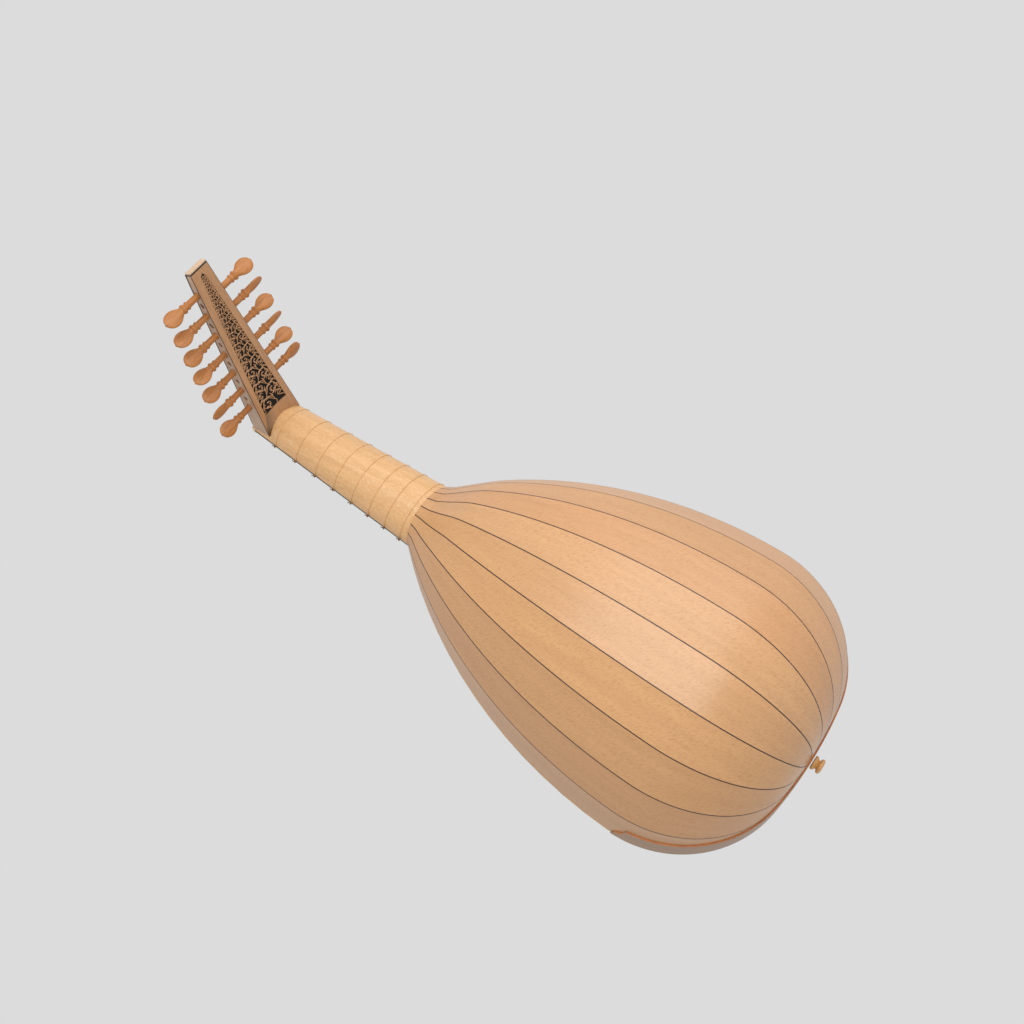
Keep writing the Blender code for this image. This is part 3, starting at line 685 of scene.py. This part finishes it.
sideSteps = 24
plateEnd = pegbox["length"] - pegbox["cap"]
outer, inner = [], []
for side in (1, -1):
    run = [i / sideSteps for i in range(sideSteps + 1)]
    for share in run if side == 1 else reversed(run):
        along = plateEnd * share
        outer.append((along, side * pegboxHalfWidth(along)))
        hole = mix((window["start"], window["end"]), share)
        inner.append((hole, side * windowHalf(hole)))
    if side == 1:
        outer.append((plateEnd, 0))
        inner.append((window["point"], 0))
outer.append((0, 0))
inner.append((window["start"] + 1.2 * mm, 0))
rows = []
for share in (0, 0.5, 1):
    row = [onPegbox(a + (b - a) * share, c + (d - c) * share, 0) for (a, c), (b, d) in zip(outer, inner)]
    rows.append(row + [row[0]])
plate = shapeGrid("piercedBackPlate", rows, wall=pegbox["plate"], closed=True, side=1)
smoothByAngle(plate)
handOver(plate, "lute", pegboxMaple, ["pegbox_back"])

vine = {"stem": 0.5 * mm, "leafWidth": 1.75, "leaves": 8, "turns": 1.35}


def scroll(centre, radius, hand, start, leaves):
    # one scroll of the vine with its leaves, in the plate's plane; strands get finer towards the tip
    fine = 0.3 + 0.7 * min(radius / (10 * mm), 1)

    def onScroll(share, change=0.0, lead=0.0):
        angle = start + hand * (2 * math.pi * vine["turns"] * share + lead)
        reach = radius * (1 - 0.86 * share ** 0.85) + change
        return (centre[0] + reach * math.cos(angle), centre[1] + reach * math.sin(angle))

    lines = [[(onScroll(i / 26), fine * (1 + 8 * max(i / 26 - 0.9, 0))) for i in range(27)]]
    for i in range(leaves):
        share = 0.04 + 0.66 * i / leaves
        outward = -0.3 if i % 2 else 0.26
        lines.append([
            (onScroll(share, outward * radius * (k / 5) ** 0.8, 0.12 + 0.6 * k / 5),
             fine * (0.5 + (vine["leafWidth"] - 0.5) * math.sin(math.pi * min(k / 5 + 0.1, 1)) + 0.05))
            for k in range(6)])
    return lines


def leaf(foot, side, middle, girth, tip):
    # it grows inwards from the rail; its middle is given as a share of the way out to the rail
    wide = windowHalf(foot)
    return [
        ((foot, side * wide * 1.02), 0.5),
        ((foot + middle[0], side * wide * middle[1]), girth),
        ((foot + tip[0], side * tip[1]), 0.5),
    ]


vines = []
stem = [((window["start"] - 0.5 * mm, -2 * mm), 1.0)]
place, hand = window["start"] + 0.5 * mm, 1
while place < window["end"] - 2 * mm:
    half = windowHalf(place)
    radius = half * 0.6
    vines += scroll((place + radius, hand * half * 0.4), radius, hand, -hand * math.pi * 0.55, vine["leaves"])
    small = (place + radius * 1.2, -hand * half * 0.66)
    vines += scroll(small, radius * 0.48, -hand, hand * math.pi * 0.4, 5)
    stem.append(((place + radius * 0.55, -hand * half * 0.3), 0.6 + 0.4 * half / window["halfWidths"][0]))
    for k in (-1, 0, 1):  # little leaves that tie the vine to the rails
        foot = place + radius * (1.0 + 0.7 * k)
        vines.append(leaf(foot, -hand, (0.35 * radius, 0.8), 1.2, (0.55 * radius, half * 0.55)))
        vines.append(leaf(foot, hand, (-0.1 * radius, 0.92), 1.1, (0.2 * radius, half * 0.8)))
    place += radius * 1.36
    hand = -hand
stem.append(((window["point"], 0), 0.6))
vines.append(stem)
strands = [[(Vector((a, y, 0)), share) for (a, y), share in line] for line in vines]
lattice = tubeAlong("piercedVine", strands, vine["stem"], 1)
for vertex in lattice.data.vertices:  # sawn from the plate, so flat on top and cut off at its edge
    a, y, h = vertex.co
    h = max(min(h, 0.5 * mm), -0.6 * mm)
    y = max(min(y, pegboxHalfWidth(a) - 4 * mm), 4 * mm - pegboxHalfWidth(a))
    vertex.co = onPegbox(a, y, 0.55 * mm - h)
smoothByAngle(lattice, 40)
handOver(lattice, "lute", pegboxMaple)

rows = []
for i in range(13):
    along = mix((18 * mm, 224 * mm), i / 12)
    wide = pegboxHalfWidth(along) - pegbox["cheek"] - 0.1 * mm
    rows.append([onPegbox(along, share * wide, 1.75 * mm) for share in (-1, -0.5, 0, 0.5, 1)])
lining = shapeGrid("pierceLining", rows, wall=0.2 * mm)
handOver(lining, "lute", liningBlack)

# dark strips along the back corner of each cheek, and along its front edge a dark strip that is painted shade
# of that edge
purflingAndEdgeShade = {"proud": 0.06 * mm, "corner": 0.9 * mm, "inset": 0.3 * mm, "front": 0.7 * mm}
for side, label in ((1, "Treble"), (-1, "Bass")):
    cheek = softCopy(f"pegbox_{label.lower()}_cheek", 0.3 * mm)
    handOver(cheek, "lute", cheekMaple, [f"pegbox_{label.lower()}_cheek"])
    corner, front = [], []
    for i in range(25):
        along = mix((1 * mm, plateEnd - 0.3 * mm), i / 24)
        edge = pegboxHalfWidth(along)
        half = (edge - purflingAndEdgeShade["inset"], edge + purflingAndEdgeShade["proud"])
        corner.append(barRing(half, -purflingAndEdgeShade["proud"], purflingAndEdgeShade["corner"], side, along))
        # the front strip is painted shade along the cheek's front edge
        along = mix((6 * mm, plateEnd - 2 * mm), i / 24)
        edge, deep = pegboxHalfWidth(along), mix(pegbox["depths"], along / pegbox["length"])
        half = (edge - purflingAndEdgeShade["front"], edge + purflingAndEdgeShade["proud"])
        front.append(barRing(half, deep - purflingAndEdgeShade["front"], deep + purflingAndEdgeShade["proud"], side, along))
    handOver(ringLoft(f"cornerPurfling{label}", corner), "lute", darkLinesAndEdgeShade)
    handOver(ringLoft(f"frontEdgeShade{label}", front), "lute", darkLinesAndEdgeShade)


def acrossTip(name, outerInset, innerInset, grow=0.0):
    # a slab of the full section, parallel to the slanted end of the pegbox
    wide, deep = pegbox["halfWidths"][1] + grow, pegbox["depths"][1] + grow
    corners = ((wide, deep), (wide, -grow), (-wide, -grow), (-wide, deep))
    insets = (innerInset, outerInset)
    return ringLoft(name, [[atTip(y, below, inset) for y, below in corners] for inset in insets])


tip = {"face": 2.0 * mm, "veneer": 1.5 * mm}  # the pale facing and the black veneer under it
cap = acrossTip("capFacing", 0.0, tip["face"])
easeEdges(cap, 0.35 * mm)
smoothByAngle(cap)
handOver(cap, "lute", capMaple, ["pegbox_end_cap"])
veneer = acrossTip("capVeneer", tip["face"] + 0.01 * mm, tip["face"] + tip["veneer"], 0.08 * mm)
handOver(veneer, "lute", veneerBlack)
block = acrossTip("capBlock", tip["face"] + tip["veneer"] + 0.01 * mm, pegbox["cap"])
handOver(block, "lute", pegboxMaple)
print("lute: pegbox made")


# pegs

peg = {
    "radius": 3.4 * mm, "taper": 1 / 60, "length": 50.2 * mm,  # as long as the pegbox is wide at its foot
    "rings": (  # distance from the cheek, half width, half thickness, in millimetres
        (12.4, 3.4, 3.4), (12.9, 4.1, 4.1), (13.6, 4.55, 4.55), (14.6, 4.55, 4.55), (15.3, 3.9, 3.9),
        (15.9, 3.5, 3.5), (16.9, 3.6, 3.6), (17.6, 4.5, 4.5), (18.5, 5.15, 5.15), (19.8, 5.2, 5.2),
        (20.6, 4.6, 4.6), (21.1, 3.8, 3.8),
        (22.2, 3.9, 3.7), (24.2, 5.0, 3.4), (27.0, 7.0, 3.1), (30.5, 8.4, 2.9), (34.0, 8.7, 2.7),
        (37.2, 8.1, 2.4), (39.8, 6.9, 2.2), (41.8, 5.1, 1.9), (42.8, 2.9, 1.5),
        (43.2, 1.2, 1.1), (43.8, 0.9, 0.9), (44.0, 0.3, 0.3)),
    "turns": {"treble": (42, -15, 62, 72, 55, 68, 60), "bass": (-5, 62, -27, 66, -25, 60)},
}


def turnPeg():
    # a disc extruded ring by ring along +Y; the cheek's outer face is at zero
    thin = peg["radius"] - peg["length"] * peg["taper"]
    y = -peg["length"]
    bpy.ops.object.select_all(action="DESELECT")
    bpy.ops.mesh.primitive_circle_add(
        vertices=20, radius=thin * 0.8, fill_type="NGON", location=(0, y, 0), rotation=(math.pi / 2, 0, 0)
    )
    piece = bpy.context.object
    settle(piece)
    bpy.ops.object.mode_set(mode="EDIT")
    bpy.ops.mesh.select_all(action="SELECT")
    wide = thick = thin * 0.8
    middle = mix((thin, peg["radius"]), 0.5)
    shaft = [
        (place, radius / mm, radius / mm) for place, radius in
        ((-49.7, thin), (-49.0, thin), (-26, middle), (0, peg["radius"]), (11.8, peg["radius"]))
    ]
    for place, nextWide, nextThick in shaft + list(peg["rings"]):
        bpy.ops.mesh.extrude_region_move(TRANSFORM_OT_translate={"value": (0, place * mm - y, 0)})
        bpy.ops.transform.resize(value=(nextWide * mm / wide, 1, nextThick * mm / thick))
        y, wide, thick = place * mm, nextWide * mm, nextThick * mm
    bpy.ops.mesh.select_all(action="SELECT")
    bpy.ops.mesh.normals_make_consistent(inside=False)
    bpy.ops.object.mode_set(mode="OBJECT")
    applyModifier(piece, "SUBSURF", levels=1, render_levels=1)
    smoothByAngle(piece, 60)
    return piece


pattern = turnPeg()
pegAxis = {}
for side, count, shift in (("treble", 7, 0), ("bass", 6, 0.5)):
    for number in range(1, count + 1):
        along = pegbox["firstPeg"] + pegbox["pegStep"] * (number - 1 + shift)
        edge = pegboxHalfWidth(along)
        below = mix(pegbox["pegsBelow"], along / pegbox["length"])
        piece = pattern.copy()
        piece.data = pattern.data.copy()
        piece.name = f"turnedPeg{side.title()}{number}"
        bpy.context.scene.collection.objects.link(piece)
        for vertex in piece.data.vertices:  # the shaft is as long as the pegbox is wide there
            if vertex.co.y < -1 * mm:
                vertex.co.y *= 2 * edge / peg["length"]
            vertex.co.y += edge
        turn = Matrix.Rotation(math.radians(peg["turns"][side][number - 1]) - pegbox["bend"], 4, "Y")
        if side == "bass":
            turn = turn @ Matrix.Rotation(math.pi, 4, "Z")
        piece.matrix_world = Matrix.Translation(onPegbox(along, 0, below)) @ turn
        settle(piece)
        handOver(piece, f"peg_{side}_{number}", pegPlum, [f"peg_{side}_{number}"])
        piece.data.materials.append(pegEndGrainAndHoleShade)
        outward = 1 if side == "treble" else -1
        for face in piece.data.polygons:  # the thin end shows in the far cheek as a dark round spot, partly its own end grain and partly painted shade of the hole round it
            past = (face.center.y + outward * edge) * outward
            if face.normal.y * outward < -0.8 and past < 0.5 * mm:
                face.material_index = 1
        pegAxis[f"peg_{side}_{number}"] = (along, below)
bpy.data.objects.remove(pattern)
print("lute: pegs made")


# front: table, bars, bridge, nut, fingerboard, strings

def finishNode(node, finish):
    node.data.materials.clear()
    node.data.materials.append(finish)


for name in ("soundboard", "neck_block", "bar_1", "bar_2", "bar_3"):
    finishNode(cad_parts[name], tableSpruce)
finishNode(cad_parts["fingerboard"], boardEbony)
for name, finish, slot, edge in (
    ("bridge", bridgePear, "pearwood", 0.35 * mm),
    ("nut", nutBone, "bone", 0.12 * mm),
):
    handOver(softCopy(name, edge), "lute", finish, [name])

winding = {"turns": 4, "pitch": 1.15, "thickness": 0.3 * mm, "core": 3.1 * mm, "steps": 14}
for name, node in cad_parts.items():
    if not name.startswith("string_"):
        continue
    finishNode(node, gutString)
    tip = max((vertex.co for vertex in node.data.vertices), key=lambda point: point.z)

    def offAxis(key):
        away = onPegbox(pegAxis[key][0], 0, pegAxis[key][1]) - tip
        return math.hypot(away.x, away.z)

    nearest = min(pegAxis, key=offAxis)
    along, below = pegAxis[nearest]
    thick = winding["thickness"]
    radius = winding["core"] + thick
    axis = onPegbox(along, 0, below)
    out = 1 if tip.y >= 0 else -1
    coil = []
    for k in range(winding["turns"] * winding["steps"] + 1):
        angle = 2 * math.pi * k / winding["steps"]
        y = tip.y - out * winding["pitch"] * thick * 2 * k / winding["steps"]
        coil.append((axis + Vector((radius * math.cos(-angle), y, radius * math.sin(-angle))), 1))
    turns = tubeAlong(f"{name}Winding", [coil], thick, 2)
    smoothByAngle(turns, 60)
    handOver(turns, nearest, gutString)
print("lute: front made")


# floor, light, camera

floor = {"size": 40.0, "colour": "DCDCDC"}
bpy.ops.object.select_all(action="DESELECT")
bpy.ops.mesh.primitive_plane_add(size=floor["size"], location=(0, 0, -0.3 * mm))
ground = bpy.context.object
ground.name = "floor"
groundFinish, _, groundShader = newFinish("paleStudioFloor")  # lit from within, as a light table is
groundShader.inputs["Base Color"].default_value = (0, 0, 0, 1)
groundShader.inputs["Roughness"].default_value = 1.0
groundShader.inputs["Specular IOR Level"].default_value = 0.0
groundShader.inputs["Emission Color"].default_value = fromHex(floor["colour"])
groundShader.inputs["Emission Strength"].default_value = 1.0
ground.data.materials.append(groundFinish)

world = bpy.data.worlds.new("studio")
bpy.context.scene.world = world
world.use_nodes = True
world.node_tree.nodes["Background"].inputs["Color"].default_value = fromHex(floor["colour"])
world.node_tree.nodes["Background"].inputs["Strength"].default_value = 1.0


def standing(place, xAxis, yAxis, zAxis):
    return Matrix.Translation(place) @ Matrix((xAxis, yAxis, zAxis)).transposed().to_4x4()


lamps = {
    "overhead": {"place": (0.08, 0.24, 1.5), "aim": (-0.1, 0.0, 0.08), "size": (1.5, 0.42), "power": 11},
    "side": {"place": (0.25, -0.9, 1.35), "aim": (-0.1, 0.0, 0.08), "size": (1.2, 1.0), "power": 10},
}
for name, lamp in lamps.items():
    data = bpy.data.lights.new(name, "AREA")
    data.shape, data.energy = "RECTANGLE", lamp["power"]
    data.size, data.size_y = lamp["size"]
    light = bpy.data.objects.new(name, data)
    bpy.context.scene.collection.objects.link(light)
    down = (Vector(lamp["aim"]) - Vector(lamp["place"])).normalized()
    wide = (Vector((1, 0, 0)) - down * down.x).normalized()  # its long side runs along the lute
    light.matrix_world = standing(lamp["place"], wide, wide.cross(down), -down)

view = {
    "place": (tailX + 0.01845, 0.4015, 1.1292), "look": (0.28643, -0.36572, -0.88555),
    "up": (0.51083, -0.72365, 0.46409), "lens": 41.97, "shift": -0.009,
}
cameraData = bpy.data.cameras.new("studioCamera")
cameraData.lens, cameraData.sensor_width, cameraData.shift_x = view["lens"], 36, view["shift"]
cameraData.clip_start, cameraData.clip_end = 0.05, 30
camera = bpy.data.objects.new("studioCamera", cameraData)
bpy.context.scene.collection.objects.link(camera)
look, up = Vector(view["look"]).normalized(), Vector(view["up"]).normalized()
right = look.cross(up).normalized()
camera.matrix_world = standing(view["place"], right, right.cross(look), -look)
bpy.context.scene.camera = camera
bpy.context.scene.view_settings.view_transform = "Standard"
print("lute: floor, light and camera set")
